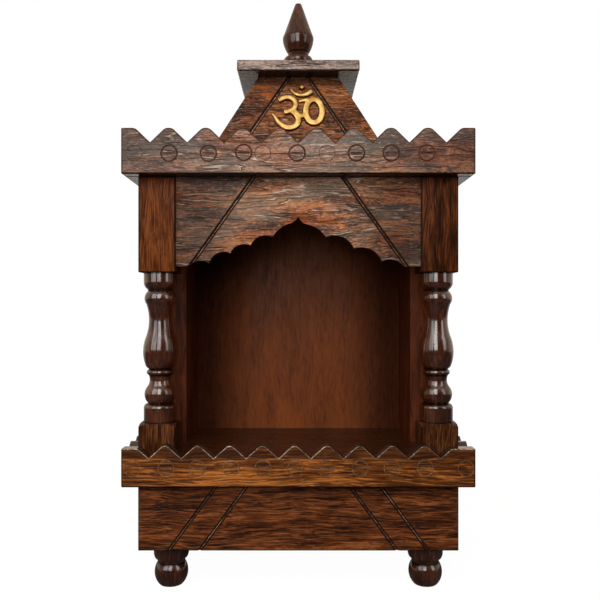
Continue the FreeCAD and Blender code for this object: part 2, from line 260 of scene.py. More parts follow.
# %% The patterns of one wood
class WoodPatterns:
    """The noises that the colour, the gloss and the relief of one wood share."""

    def __init__(self, flow, along, shift, look):
        place = grain_places(flow, along, shift)
        fibres, length = look["fibres"], look["length"]
        self.patches = streaks(flow, place, 30.0, 2.5, 3.0)
        self.bands = streaks(flow, place, 48.0, 3.5, 2.0)
        self.strands = streaks(flow, place, fibres * 0.25, length, 2.0)
        self.fibres = streaks(flow, place, fibres, length, 3.0)
        self.flecks = streaks(flow, place, fibres * 1.3, length * 0.6, 1.0)
        self.crumbs = streaks(flow, place, 950.0, 3.5, 2.0)
        contours = streaks(flow, place, 130.0, 16.0, 2.0)
        self.wrinkles = abs(contours - 0.5).between(0.02, 0.0)
        self.ridges = abs(contours - 0.525).between(0.018, 0.0)


# %% Colour of the wood
REAR_FACE = model_box[1].y
RUST = screen(140, 72, 26)
WEATHERED_SHEEN = screen(112, 96, 80)
# painted highlights: glints on crumbs and on the ridges beside the wrinkles
CRUMB_GLINT = screen(172, 148, 134)
RIDGE_GLINT = screen(208, 186, 170)
CREASE_SHADE = screen(8, 3, 1)
END_SHADE = (0.2, 0.14, 0.09, 1)


def stained_colour(flow, wood, look, dark, body, warm):
    """The stain: three colours that follow the grain, orange patches, dark bands and pores."""
    crumble = look["crumble"]
    tone = wood.bands * 0.25 + wood.strands * 0.25
    tone = tone + wood.fibres * (0.5 - 0.3 * crumble) + wood.crumbs * (0.3 * crumble)
    half = 0.1 / look["contrast"]
    stops = [(0.5 - half, dark), (0.5, body), (0.5 + half, warm)]
    colour = flow.node("ShaderNodeValToRGB", {"stops": stops}, {"Fac": tone})
    if look["rust"]:
        colour = (wood.patches.between(0.48, 0.34) * look["rust"]).mixed(colour, RUST)
    if look["blotch"]:
        colour = (wood.bands.between(0.5, 0.36) * look["blotch"]).mixed(colour, dark)
    colour = (wood.flecks.between(0.44, 0.3) * look["flecks"]).mixed(colour, dark)
    return (wood.wrinkles * look["wrinkle"]).mixed(colour, dark)


def wear_and_painted_light(flow, wood, look, colour, dark):
    """Wear and painted light: a darker top, greyer patches, and glints on crumbs and ridges."""
    # darker above a given height: on the roof this is the painted shadow of the slab's overhang
    if look["dark_from"] < 1:
        level = place_along(flow, "Z") + wood.bands * 0.006
        upper = level.between(look["dark_from"], look["dark_from"] + 3 * MM)
        colour = (upper * 0.7).mixed(colour, dark)
    # greyer patches: weathering, and painted sheen of the lacquer
    if look["weather"]:
        grey = wood.patches.between(0.42, 0.62) * look["weather"]
        colour = grey.mixed(colour, WEATHERED_SHEEN)
    # painted highlights: light glints on some crumbs and on the ridges beside the wrinkles
    if look["painted_glints"]:
        crumbs = wood.crumbs.between(0.56, 0.7) * look["painted_glints"] * look["crumble"]
        colour = crumbs.mixed(colour, CRUMB_GLINT)
        ridges = wood.ridges * wood.patches.between(0.38, 0.5) * look["painted_glints"]
        colour = ridges.mixed(colour, RIDGE_GLINT)
    return colour


def outer_share(flow, wood, look):
    """How far a place lies out toward the board's ends, as painted shade. It is 0 on the shrine's
    rear face.
    """
    reach = abs(place_along(flow, "X")) + wood.bands * 0.02
    outer = reach.between(look["ends_from"], look["ends_from"] * 2)
    inside = place_along(flow, "Y").between(REAR_FACE - 1 * MM, REAR_FACE - 2 * MM)
    return outer * inside * look["ends"]


def crease_share(flow, levels):
    """1 in the turned creases at these heights, 0 away from them: where shade is painted."""
    height = place_along(flow, "Z")
    crease = 0.0
    for level in levels:
        near = abs(height - level).between(1.8 * MM, 0.4 * MM)
        crease = near.maths("MAXIMUM", near, crease)
    return crease


# %% Wood finish
def wood_relief(flow, wood, look):
    height = wood.fibres * 0.6 + wood.flecks * 0.3 - wood.wrinkles * look["wrinkle"]
    height = height + wood.ridges * look["painted_glints"] + wood.crumbs * look["crumble"]
    inputs = {"Height": height, "Strength": look["relief"], "Distance": 0.7 * MM}
    return flow.node("ShaderNodeBump", None, inputs)


def wood_finish(name, along, shift, stain, **changes):
    """Stained wood. The stain is three colours: darkest streaks, body, brightest fibres."""
    look = {**PLAIN_WOOD, **changes}
    dark, body, warm = [screen(*colour) for colour in stain]
    material, flow = new_finish(name)
    wood = WoodPatterns(flow, along, shift, look)
    colour = stained_colour(flow, wood, look, dark, body, warm)
    colour = wear_and_painted_light(flow, wood, look, colour, dark)
    uneven = (0.5 - wood.patches) * look["sheen"] + (0.5 - wood.fibres) * 0.4
    crease = coat = 0.0
    if look["ends"]:
        outer = outer_share(flow, wood, look)
        # painted shade toward the board's ends: the sides of the niche and the dimmer ends of the
        # front boards
        colour = outer.mixed(colour, END_SHADE, "MULTIPLY")
        uneven = uneven + outer * 0.4
    if look["creases"]:
        crease = crease_share(flow, look["creases"])
        # painted shade in the turned creases, where the coat is also made thinner
        colour = (crease * 0.85).mixed(colour, CREASE_SHADE)
    if look["coat"]:
        coat = (wood.strands.between(0.38, 0.56) * 0.4 + 0.6 - crease * 0.5) * look["coat"]
    shader = flow.node(
        "ShaderNodeBsdfPrincipled",
        None,
        {
            "Base Color": colour,
            "Roughness": uneven + look["rough"],
            "Normal": wood_relief(flow, wood, look),
            "IOR": look["gloss"],
            "Coat Weight": coat,
            "Coat Roughness": 0.12,
            "Coat IOR": 1.68,
        },
    )
    close_finish(flow, shader)
    return material


# %% The stains of this shrine
LEDGE_STAIN = ((42, 17, 5), (101, 55, 18), (172, 104, 46))
BASE_STAIN = ((32, 13, 4), (90, 46, 19), (138, 78, 40))
CORNICE_STAIN = ((20, 9, 5), (90, 53, 32), (154, 100, 66))
ARCH_STAIN = ((20, 8, 3), (112, 63, 31), (176, 110, 60))
ROOF_STAIN = ((28, 12, 4), (98, 52, 21), (152, 90, 44))
CAP_STAIN = ((20, 13, 9), (92, 69, 57), (142, 118, 104))
UNDER_SHADE_STAIN = ((12, 6, 3), (42, 27, 19), (70, 50, 38))
# lit and shaded copies of the post stain: the left upper block painted light, the right one and the
# lower blocks painted shade
LIT_LEFT_POST_STAIN = ((44, 17, 3), (78, 37, 12), (108, 58, 24))
SHADED_RIGHT_POST_STAIN = ((26, 9, 2), (57, 26, 8), (94, 48, 20))
SHADED_LOW_POST_STAIN = ((34, 15, 5), (66, 34, 15), (100, 60, 34))
TURNED_STAIN = ((18, 6, 2), (54, 22, 7), (84, 42, 18))
INNER_STAIN = ((44, 16, 4), (104, 52, 19), (126, 66, 27))
INNER_SIDE_STAIN = ((38, 13, 4), (70, 30, 11), (88, 42, 18))
FLOOR_STAIN = ((38, 17, 6), (56, 27, 11), (72, 37, 17))
EDGE_AND_SHADE_STAIN = ((14, 5, 2), (36, 16, 8), (62, 33, 18))
TOP_SHEEN_STAIN = ((24, 16, 10), (46, 33, 22), (66, 50, 36))
# painted highlight for eased edges and for the valleys of scored lines
PAINTED_GLINT_COLOURS = ((34, 20, 12), (92, 70, 54), (168, 146, 124))
CORNICE_EDGE_STAIN = ((10, 4, 2), (34, 18, 11), (96, 66, 50))
# painted shade in the cornice's rings and in the flanks of scored lines; a painted highlight in the
# ledge's rings
RING_SHADE_STAIN = ((34, 16, 9), (66, 36, 24), (96, 58, 40))
LEDGE_RING_GLINT_STAIN = ((60, 38, 22), (96, 66, 42), (134, 98, 68))
GROOVE_SHADE_STAIN = ((18, 9, 4), (42, 22, 13), (66, 38, 24))
ROUGH_SAWN = {
    "contrast": 1.3, "wrinkle": 0.75, "painted_glints": 0.5, "rough": 0.3, "relief": 1.0, "sheen": 0.4,
    "crumble": 0.8,
}
QUIET = {"wrinkle": 0.1, "relief": 0.15, "contrast": 0.8}
BROKEN = {"length": 3.0, "contrast": 1.6, "relief": 0.3}
LEDGE_GRAIN = {
    "fibres": 750.0, "length": 24.0, "wrinkle": 0.6, "contrast": 1.1, "crumble": 0.25,
    "dark_from": 0.122,
}
BASE_GRAIN = {"fibres": 900.0, "length": 18.0, "wrinkle": 0.6, "contrast": 1.15, "crumble": 0.3}
POST_GRAIN = {"fibres": 800.0, "length": 16.0, "relief": 0.4, "gloss": 1.12}
LATHE_GRAIN = {
    "fibres": 600.0, "contrast": 0.6, "wrinkle": 0.1, "flecks": 0.3, "rough": 0.35, "relief": 0.1,
    "gloss": 1.15,
}

ledge_wood = wood_finish("ledge_wood", "x", (0.3, 0.1, 0), LEDGE_STAIN, **LEDGE_GRAIN)
ledge_side_wood = wood_finish("ledge_side_wood", "y", (0.7, 0.2, 0), LEDGE_STAIN, **LEDGE_GRAIN)
base_wood = wood_finish("base_wood", "x", (0.5, 0.4, 0), BASE_STAIN, **BASE_GRAIN)
base_side_wood = wood_finish("base_side_wood", "y", (0.9, 0.3, 0), BASE_STAIN, **BASE_GRAIN)
cornice_wood = wood_finish(
    "cornice_wood", "x", (0.2, 0.6, 0), CORNICE_STAIN,
    gloss=1.45, weather=0.4, rust=0.4, blotch=0.5, ends_from=0.07, ends=0.5,
    **{**ROUGH_SAWN, "contrast": 1.5},
)
cornice_side_wood = wood_finish(
    "cornice_side_wood", "y", (0.4, 0.7, 0), CORNICE_STAIN, gloss=1.5, weather=0.3, **ROUGH_SAWN
)
arch_wood = wood_finish(
    "arch_wood", "x", (0.1, 0.9, 0), ARCH_STAIN,
    gloss=1.32, weather=0.5, rust=0.9, blotch=0.5, ends_from=0.05, ends=0.7,
    **{**ROUGH_SAWN, "contrast": 1.5, "painted_glints": 0.6},
)
# The top of the front roof board is darker: painted shadow under the cap slab.
roof_wood = wood_finish(
    "roof_wood", "x", (0.6, 0.8, 0), ROOF_STAIN,
    gloss=1.2, rust=0.8, blotch=0.45, dark_from=0.458, **{**ROUGH_SAWN, "painted_glints": 0.25},
)
roof_side_wood = wood_finish(
    "roof_side_wood", "y", (0.2, 0.8, 0), ROOF_STAIN, gloss=1.3, weather=0.2, **ROUGH_SAWN
)
cap_wood = wood_finish(
    "cap_wood", "x", (0.9, 0.1, 0), CAP_STAIN, gloss=1.5, weather=0.3,
    **{**ROUGH_SAWN, "contrast": 1.6, "wrinkle": 0.9},
)
# painted shade for faces that look down, lighter under the cap slab
under_wood = wood_finish(
    "under_wood", "x", (0.4, 0.1, 0), UNDER_SHADE_STAIN, gloss=1.45, rough=0.2, crumble=0.5
)
lit_left_post_wood = wood_finish("lit_left_post_wood", "z", (0.8, 0.5, 0), LIT_LEFT_POST_STAIN, **POST_GRAIN)
shaded_right_post_wood = wood_finish("shaded_right_post_wood", "z", (0.6, 0.2, 0), SHADED_RIGHT_POST_STAIN, **POST_GRAIN)
shaded_low_post_wood = wood_finish("shaded_low_post_wood", "z", (0.3, 0.4, 0), SHADED_LOW_POST_STAIN, **POST_GRAIN)
turned_wood = wood_finish(
    "turned_wood", "z", (0.1, 0.2, 0), TURNED_STAIN,
    coat=1.0, creases=(0.0199, 0.148, 0.1647, 0.1902, 0.1955, 0.2663, 0.2817), **LATHE_GRAIN,
)
finial_wood = wood_finish(
    "finial_wood", "z", (0.4, 0.2, 0), TURNED_STAIN, coat=0.55, creases=(0.5,), **LATHE_GRAIN
)
inner_wood = wood_finish(
    "inner_wood", "z", (0.5, 0.1, 0), INNER_STAIN,
    fibres=420.0, length=6.0, rough=0.5, gloss=1.22, flecks=0.1, crumble=0.4, rust=0.25,
    ends_from=0.055, ends=0.95, contrast=0.4, wrinkle=0.0, relief=0.1,
)
inner_side_wood = wood_finish(
    "inner_side_wood", "z", (0.7, 0.1, 0), INNER_SIDE_STAIN, fibres=300.0, rough=0.5, **QUIET
)
inner_floor_wood = wood_finish(
    "inner_floor_wood", "x", (0.5, 0.1, 0), FLOOR_STAIN, rough=0.3, gloss=1.3, **QUIET
)
edge_wood = wood_finish("edge_wood", "x", (0.3, 0.3, 0), EDGE_AND_SHADE_STAIN, gloss=1.12, **QUIET)
# Tops take a darker, greyer copy of the stain, which paints part of their grey sheen; their gloss
# gives the rest.
top_wood = wood_finish("top_wood", "x", (0.3, 0.3, 0), TOP_SHEEN_STAIN, rough=0.2, gloss=1.45, **QUIET)
glint_wood = wood_finish(
    "glint_wood", "x", (0.3, 0.3, 0), PAINTED_GLINT_COLOURS, rough=0.3, gloss=1.4, **BROKEN
)
cornice_edge_wood = wood_finish(
    "cornice_edge_wood", "x", (0.6, 0.3, 0), CORNICE_EDGE_STAIN, gloss=1.3, **BROKEN
)
ring_wood = wood_finish("ring_wood", "x", (0.3, 0.3, 0), RING_SHADE_STAIN, **QUIET)
ledge_ring_wood = wood_finish("ledge_ring_wood", "x", (0.3, 0.3, 0), LEDGE_RING_GLINT_STAIN, **QUIET)
groove_wood = wood_finish("groove_wood", "x", (0.2, 0.3, 0), GROOVE_SHADE_STAIN, gloss=1.12, **QUIET)
print("wood finishes:", len(bpy.data.materials))

# %% [markdown]
# ## Eased edges
# A maker runs sandpaper along every sharp edge, so a real board has a soft, darker line there
# that catches the light. The construction boards have knife edges. A copy of the board's mesh
# with a small bevel gives that line, and the bevel's own faces take a darker finish. Faces that
# look down take the same finish, as painted shade. A scored line gets a rounded valley with a
# painted highlight, flanks darkened with painted shade, and two dark shoulders.

# %% Copy a board and ease its edges
SHARP = math.radians(60)   # the corners of a board are sharper than this, its curves aren't
VALLEY_TURN = 1.2          # the flanks of a scored line turn by more than this, in radians
LINE_LENGTH = 20 * MM      # the scored lines are longer than this
VALLEY_WIDTH = 0.45 * MM


def merged_copy(node):
    """The node's mesh as an editable one: corners joined, and flat faces made whole again."""
    shape = bmesh.new()
    shape.from_mesh(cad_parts[node].data)
    bmesh.ops.remove_doubles(shape, verts=shape.verts, dist=0.001 * MM)
    bmesh.ops.dissolve_limit(
        shape, angle_limit=math.radians(1), verts=shape.verts, edges=shape.edges
    )
    return shape


def finished_piece(shape, name, nodes, finishes):
    """Turns the editable mesh into a piece that stands for the nodes."""
    mesh = bpy.data.meshes.new(name)
    shape.to_mesh(mesh)
    shape.free()
    piece = bpy.data.objects.new(name, mesh)
    bpy.context.scene.collection.objects.link(piece)
    for finish in finishes:
        mesh.materials.append(finish)
    claim(piece, nodes)
    return piece


def claim(piece, nodes):
    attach(piece, "root")
    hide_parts(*nodes)


def outer_edges(shape, least_angle):
    """Edges where two faces meet in an outward corner sharper than the angle."""
    return [
        edge
        for edge in shape.edges
        if edge.is_manifold and edge.is_convex and edge.calc_face_angle(0) > least_angle
    ]


def ease(shape, edges, width, finish_index=1):
    eased = bmesh.ops.bevel(
        shape,
        geom=edges,
        offset=width,
        offset_type="OFFSET",
        segments=3,
        profile=0.5,
        affect="EDGES",
        clamp_overlap=True,
        material=finish_index,
    )
    for face in eased["faces"]:
        face.smooth = True
    return eased["faces"]


def mark_grooves(shape):
    """The two flanks of each scored line meet in its valley, an inward edge of some length."""
    valleys = [
        edge
        for edge in shape.edges
        if edge.is_manifold
        and not edge.is_convex
        and edge.calc_face_angle(0) > VALLEY_TURN
        and edge.calc_length() > LINE_LENGTH
    ]
    flanks = {face for edge in valleys for face in edge.link_faces}
    for face in flanks:
        # the flanks take groove_wood, darkened with painted shade
        face.material_index = 2
    shoulders = {edge for face in flanks for edge in face.edges if edge.is_convex}
    shoulders = [edge for edge in shoulders if edge.calc_length() > LINE_LENGTH]
    return valleys, shoulders


def underside(face):
    """Whether the face looks down, be it only a little."""
    return face.normal.z < -0.15


def eased_board(node, name, finish, width=0.9 * MM, shoulder=0.5 * MM, under=edge_wood):
    """A board with eased edges. Its edges and undersides take the finish named under."""
    shape = merged_copy(node)
    # faces that look down take the under finish: painted shade
    for face in shape.faces:
        face.material_index = 1 if underside(face) else 0
    valleys, shoulders = mark_grooves(shape)
    if valleys:
        # the rounded valleys take glint_wood, a painted highlight; the shoulders take edge_wood
        ease(shape, valleys, VALLEY_WIDTH, 3)
        shoulders = [edge for edge in shoulders if edge.is_valid]
        ease(shape, shoulders, shoulder, 4)
    ease(shape, outer_edges(shape, SHARP), width)
    finishes = [finish, under, groove_wood, glint_wood, edge_wood]
    piece = finished_piece(shape, name, [node], finishes)
    print(name, "has", len(piece.data.polygons), "faces")
    return piece


# %% [markdown]
# ## The toothed boards
# Three toothed boards make the ledge and three more make the cornice. The end boards run from
# front to back, so their grain does too. Tops, undersides, lower edges and ends have finishes of
# their own, and on the undersides and lower edges that finish is painted shade. Any other eased
# edge has one of two: a lighter one, painted light, or a darker one where it looks to the right,
# painted shade.

# %% Ledge and cornice boards
TIP_TURN = math.radians(30)   # the edges at the tip of a tooth turn by more than this
END_WIDTH = 1.3 * MM
LOWER_WIDTH = 1.6 * MM


def upright(edge):
    way = edge.verts[1].co - edge.verts[0].co
    return abs(way.z) > 0.95 * way.length


def toothed_board(node, name, finish, tip_width, edge_width, lit, shaded, turn):
    """A toothed board: the tips of its teeth are rounded first, then every edge is eased.

    Edges that face further right than turn take the shaded finish, which is painted shade,
    the others the lit one, which is painted light.
    """
    shape = merged_copy(node)
    tips = [e for e in outer_edges(shape, TIP_TURN) if e.calc_face_angle(0) < SHARP]
    ease(shape, tips, tip_width)
    for face in shape.faces:
        # tops take top_wood, partly painted sheen; faces that look down take under_wood, painted
        # shade
        face.material_index = 3 if face.normal.z > 0.3 else 4 if underside(face) else 0
    ends = [edge for edge in outer_edges(shape, SHARP) if upright(edge)]
    ease(shape, ends, END_WIDTH, 2)
    # the lower edges take edge_wood: painted shade
    corners = outer_edges(shape, SHARP)
    lower = [edge for edge in corners if any(underside(face) for face in edge.link_faces)]
    ease(shape, lower, LOWER_WIDTH, 2)
    for face in ease(shape, outer_edges(shape, SHARP), edge_width):
        if face.normal.x > turn:
            face.material_index = 5
    finishes = [finish, lit, edge_wood, top_wood, under_wood, shaded]
    piece = finished_piece(shape, name, [node], finishes)
    print(name, "has", len(tips), "rounded tips and", len(piece.data.polygons), "faces")
    return piece


# tip width, edge width, then the lighter and darker edge finishes: painted light and painted shade
LEDGE_EDGES = (1.6 * MM, 0.7 * MM, glint_wood, cornice_edge_wood, 0.3)
CORNICE_EDGES = (2.2 * MM, 1.6 * MM, cornice_edge_wood, edge_wood, -0.3)
ledge_front = toothed_board("ledge_front", "ledge_board_front", ledge_wood, *LEDGE_EDGES)
toothed_board("ledge_left", "ledge_board_left", ledge_side_wood, *LEDGE_EDGES)
toothed_board("ledge_right", "ledge_board_right", ledge_side_wood, *LEDGE_EDGES)
cornice_front = toothed_board("cornice_front", "cornice_board_front", cornice_wood, *CORNICE_EDGES)
toothed_board("cornice_left", "cornice_board_left", cornice_side_wood, *CORNICE_EDGES)
toothed_board("cornice_right", "cornice_board_right", cornice_side_wood, *CORNICE_EDGES)

# %% [markdown]
# ## Stamped circles
# A row of small circles, each with a lens-shaped cut across its middle, is punched into both
# front boards. The punch is a repeat along a line, which is what Geometry Nodes do best: one
# tree lays out the punches, and its inputs set their spacing and size. The row is then cut out
# of the board with a Boolean, so that the light falls into real grooves.

# %% A tree that lays out the punches
PUNCH_INPUTS = {
    "Count": ("NodeSocketInt", 9),
    "Spacing": ("NodeSocketFloat", 28 * MM),
    "First": ("NodeSocketVector", (0, 0, 0)),
    "Ring radius": ("NodeSocketFloat", 6.85 * MM),
    "Ring thickness": ("NodeSocketFloat", 0.8 * MM),
    "Ring lift": ("NodeSocketFloat", 0.17 * MM),
    "Slot length": ("NodeSocketFloat", 11.6 * MM),
    "Slot height": ("NodeSocketFloat", 2.3 * MM),
    "Slot depth": ("NodeSocketFloat", 0.5 * MM),
    "Wander": ("NodeSocketFloat", 1.0 * MM),
    "Seed": ("NodeSocketInt", 3),
    "Finish": ("NodeSocketMaterial", None),
}
STOOD_UP = (math.radians(90), 0, 0)


def circle_curve(flow, radius, resolution):
    inputs = {"Resolution": resolution, "Radius": radius}
    return flow.node("GeometryNodeCurvePrimitiveCircle", None, inputs)


def punch_ring(flow, sizes):
    """A ring as thin as a wire, flat on the board's face and lifted out of it a little."""
    curves = {
        "Curve": circle_curve(flow, sizes["Ring radius"], 40),
        "Profile Curve": circle_curve(flow, sizes["Ring thickness"], 10),
    }
    ring = flow.node("GeometryNodeCurveToMesh", None, curves)
    lift = flow.node("ShaderNodeCombineXYZ", None, {"Z": sizes["Ring lift"]})
    ring = flow.node("GeometryNodeTransform", None, {"Geometry": ring, "Translation": lift})
    return flow.node("GeometryNodeTransform", None, {"Geometry": ring, "Rotation": STOOD_UP})


def punch_slot(flow, sizes):
    """A ball squeezed into the shape of a lens."""
    half_sizes = {
        "X": sizes["Slot length"] * 0.5, "Y": sizes["Slot depth"], "Z": sizes["Slot height"] * 0.5,
    }
    lens_size = flow.node("ShaderNodeCombineXYZ", None, half_sizes)
    ball = flow.node("GeometryNodeMeshUVSphere", None, {"Segments": 24, "Rings": 12, "Radius": 1.0})
    return flow.node("GeometryNodeTransform", None, {"Geometry": ball, "Scale": lens_size})


def punch_places(flow, sizes):
    """Points along a line, each a little off its place."""
    step = flow.node("ShaderNodeCombineXYZ", None, {"X": sizes["Spacing"]})
    line = {"Count": sizes["Count"], "Start Location": sizes["First"], "Offset": step}
    row = flow.node("GeometryNodeMeshLine", None, line)
    reach = {"X": sizes["Wander"], "Z": sizes["Wander"] * 0.4}
    reach = flow.node("ShaderNodeCombineXYZ", None, reach)
    draw = {0: (-1, 0, -1), 1: (1, 0, 1), "Seed": sizes["Seed"]}
    wander = flow.node("FunctionNodeRandomValue", {"data_type": "FLOAT_VECTOR"}, draw)
    wander = vector_maths(flow, "MULTIPLY", wander, reach)
    return flow.node("GeometryNodeSetPosition", None, {"Geometry": row, "Offset": wander})


def punch_tree():
    tree = bpy.data.node_groups.new("stamped_circles", "GeometryNodeTree")
    for name, (kind, value) in PUNCH_INPUTS.items():
        socket = tree.interface.new_socket(name, in_out="INPUT", socket_type=kind)
        if value is not None:
            socket.default_value = value
    tree.interface.new_socket("Geometry", in_out="OUTPUT", socket_type="NodeSocketGeometry")
    given = tree.nodes.new("NodeGroupInput")
    sizes = {name: Flow(tree, given.outputs[name]) for name in PUNCH_INPUTS}
    flow = Flow(tree)

    punch = flow.node("GeometryNodeJoinGeometry")
    join = punch.socket.node
    for part in (punch_ring(flow, sizes), punch_slot(flow, sizes)):
        tree.links.new(part.socket, join.inputs[0])
    row = punch_places(flow, sizes)
    punches = flow.node("GeometryNodeInstanceOnPoints", None, {"Points": row, "Instance": punch})
    punches = flow.node("GeometryNodeRealizeInstances", None, {"Geometry": punches})
    look = {"Geometry": punches, "Material": sizes["Finish"]}
    punches = flow.node("GeometryNodeSetMaterial", None, look)
    end = tree.nodes.new("NodeGroupOutput")
    tree.links.new(punches.socket, end.inputs["Geometry"])
    return tree


def plain_mesh(piece):
    """The piece as its modifiers leave it, as a plain mesh of its own."""
    shown = piece.evaluated_get(bpy.context.evaluated_depsgraph_get())
    mesh = bpy.data.meshes.new_from_object(shown)
    piece.modifiers.clear()
    piece.data = mesh
    return mesh


stamped_circles = punch_tree()


# %% Cut the rows into the boards
def punches(board, height, run):
    """One run of punches on the front face of a board. Lengths in the run are in mm."""
    piece = bpy.data.objects.new("punches", bpy.data.meshes.new("punches"))
    bpy.context.scene.collection.objects.link(piece)
    rows = piece.modifiers.new("row", "NODES")
    rows.node_group = stamped_circles
    face = min(corner[1] for corner in board.bound_box)
    for socket in stamped_circles.interface.items_tree:
        value = run.get(socket.name)
        if socket.name == "First":
            value = (value * MM, face, height)
        elif isinstance(value, float):
            value = value * MM
        if value is not None:
            rows[socket.identifier] = value
    plain_mesh(piece)
    return piece


def stamp(board, height, runs, finish):
    """Cuts every run of circles into the face of a board."""
    for run in runs:
        tool = punches(board, height, {"Finish": finish, **run})
        cut = board.modifiers.new("stamp", "BOOLEAN")
        cut.operation = "DIFFERENCE"
        cut.solver = "EXACT"
        cut.material_mode = "TRANSFER"
        cut.object = tool
        plain_mesh(board)
        bpy.data.objects.remove(tool)
    print(board.name, "stamped:", len(board.data.polygons), "faces")


# A light blow leaves a shallow ring and no cut across it.
LIGHT_BLOW = {"Ring thickness": 0.6, "Ring lift": 0.46, "Slot length": 0.1, "Slot height": 0.1}
LEDGE_RUNS = [
    {"First": -114.4, "Spacing": 28.0, "Count": 5, "Ring lift": 0.55, "Slot depth": 0.2, "Seed": 3},
    {"First": 24.8, "Spacing": 28.2, "Count": 4, "Ring lift": 0.6, "Slot depth": 0.15, "Seed": 8},
    {"First": -143.5, "Spacing": 289.0, "Count": 2, "Seed": 4, **LIGHT_BLOW},
]
CORNICE_RUNS = [
    {"First": -110.6, "Spacing": 32.2, "Count": 3, "Ring lift": 0.12, "Seed": 5},
    {"First": -1.4, "Count": 1, "Ring lift": 0.12, "Seed": 2},
    {"First": 49.2, "Spacing": 31.3, "Count": 3, "Ring lift": 0.15, "Seed": 6},
    {"First": -30.5, "Spacing": 55.5, "Count": 2, "Seed": 7, **LIGHT_BLOW},
    {"First": -142.0, "Spacing": 284.0, "Count": 2, "Seed": 9, **LIGHT_BLOW},
]
LEDGE_ROW_HEIGHT = 112.3 * MM
CORNICE_ROW_HEIGHT = 384 * MM
# the cornice's rings take painted shade, the ledge's a lighter painted highlight
stamp(ledge_front, LEDGE_ROW_HEIGHT, LEDGE_RUNS, ledge_ring_wood)
stamp(cornice_front, CORNICE_ROW_HEIGHT, CORNICE_RUNS, ring_wood)

# %% [markdown]
# ## Boards of the base, roof and arch
# These keep their cut lines from the construction model. Only their outer corners are eased.

# %% Base, roof, arch and cap
eased_board("base_front", "base_board_front", base_wood, 1.4 * MM, shoulder=0.15 * MM)
eased_board("base_back", "base_board_back", base_wood, 1.4 * MM)
eased_board("base_left", "base_board_left", base_side_wood)
eased_board("base_right", "base_board_right", base_side_wood)
eased_board("arch_panel", "arch_board", arch_wood, 0.7 * MM)
eased_board("roof_front", "roof_board_front", roof_wood)
eased_board("roof_back", "roof_board_back", roof_wood)
eased_board("roof_left", "roof_board_left", roof_side_wood)
eased_board("roof_right", "roof_board_right", roof_side_wood)
eased_board("cap_slab", "cap_board", cap_wood, 1.7 * MM, under=under_wood)

# %% [markdown]
# ## Turned pieces
# Pillars, feet and finial come off the lathe, so their surfaces are smooth all round while the
# square blocks of the pillars keep four eased corners. They shine under a coat of lacquer, which
# is thinner on the finial and in their deepest creases, which are darkened with painted shade.

# %% Turned pieces
BLOCK_EDGE = 12 * MM              # the corners of the square blocks are longer than this
SMOOTH_BELOW = math.radians(32)   # rings of faces that meet at less than this look like one curve
FOOT_BLOCK = 30 * MM              # how far up a pillar its lower block takes its own finish, a darker copy with painted shade
HEAD_BLOCK = 84.4 * MM            # how far down from its top its upper block does


def turned_piece(node, name, block_finishes=(), finish=turned_wood):
    """A lathe-turned piece. Its square blocks are given as low and high ends and a finish."""
    shape = merged_copy(node)
    for face in shape.faces:
        height = face.calc_center_median().z
        face.smooth = True
        face.material_index = 0
        for index, (low, high, block_finish) in enumerate(block_finishes):
            if low < height < high:
                face.material_index = index + 2
    corners = [edge for edge in outer_edges(shape, SHARP) if edge.calc_length() > BLOCK_EDGE]
    if corners:
        ease(shape, corners, 1.0 * MM)
    for edge in shape.edges:
        edge.smooth = not (edge.is_manifold and edge.calc_face_angle(0) > SMOOTH_BELOW)
    finishes = [finish, edge_wood] + [block_finish for low, high, block_finish in block_finishes]
    piece = finished_piece(shape, name, [node], finishes)
    print(name, "has", len(piece.data.polygons), "faces")
    return piece


# the upper blocks take lit and shaded copies of the post stain, the lower blocks a shaded one
pillar_low, pillar_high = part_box("pillar_left")
foot_block = (pillar_low.z - 1 * MM, pillar_low.z + FOOT_BLOCK, shaded_low_post_wood)
head_block = (pillar_high.z - HEAD_BLOCK, pillar_high.z + 1 * MM)
turned_piece("pillar_left", "turned_pillar_left", [foot_block, (*head_block, lit_left_post_wood)])
turned_piece("pillar_right", "turned_pillar_right", [foot_block, (*head_block, shaded_right_post_wood)])
turned_piece("foot_front_left", "turned_foot_front_left")
turned_piece("foot_front_right", "turned_foot_front_right")
turned_piece("foot_back_left", "turned_foot_back_left")
turned_piece("foot_back_right", "turned_foot_back_right")
turned_piece("finial", "turned_finial", finish=finial_wood)

# %% [markdown]
# ## Inside the niche
# The floor, walls, back and ceiling keep the construction model's own meshes, because nothing
# of theirs shows but flat faces, and so does the bottom of the base. They only get their
# finishes. The back board is darker toward its two ends, inside the niche only: painted shade.

# %% Inner boards
INNER_FINISHES = {
    "shrine_floor": inner_floor_wood,
    "ceiling": inner_floor_wood,
    "base_bottom": base_wood,
    "back_panel": inner_wood,
    "side_wall_left": inner_side_wood,
    "side_wall_right": inner_side_wood,
}
for node, finish in INNER_FINISHES.items():
    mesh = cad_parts[node].data
    if not mesh.materials:
        mesh.materials.append(finish)
    for index in range(len(mesh.materials)):
        mesh.materials[index] = finish
print("inner boards finished:", len(INNER_FINISHES))

# %% [markdown]
# ## The brass sign
# The sign on the roof is cast brass with flat-faced strokes. Each stroke is a curve whose radius
# changes along its way. The strokes are joined, cut off flat at one height, and remeshed into one
# skin, which gives the soft shoulders and fillets of a casting.

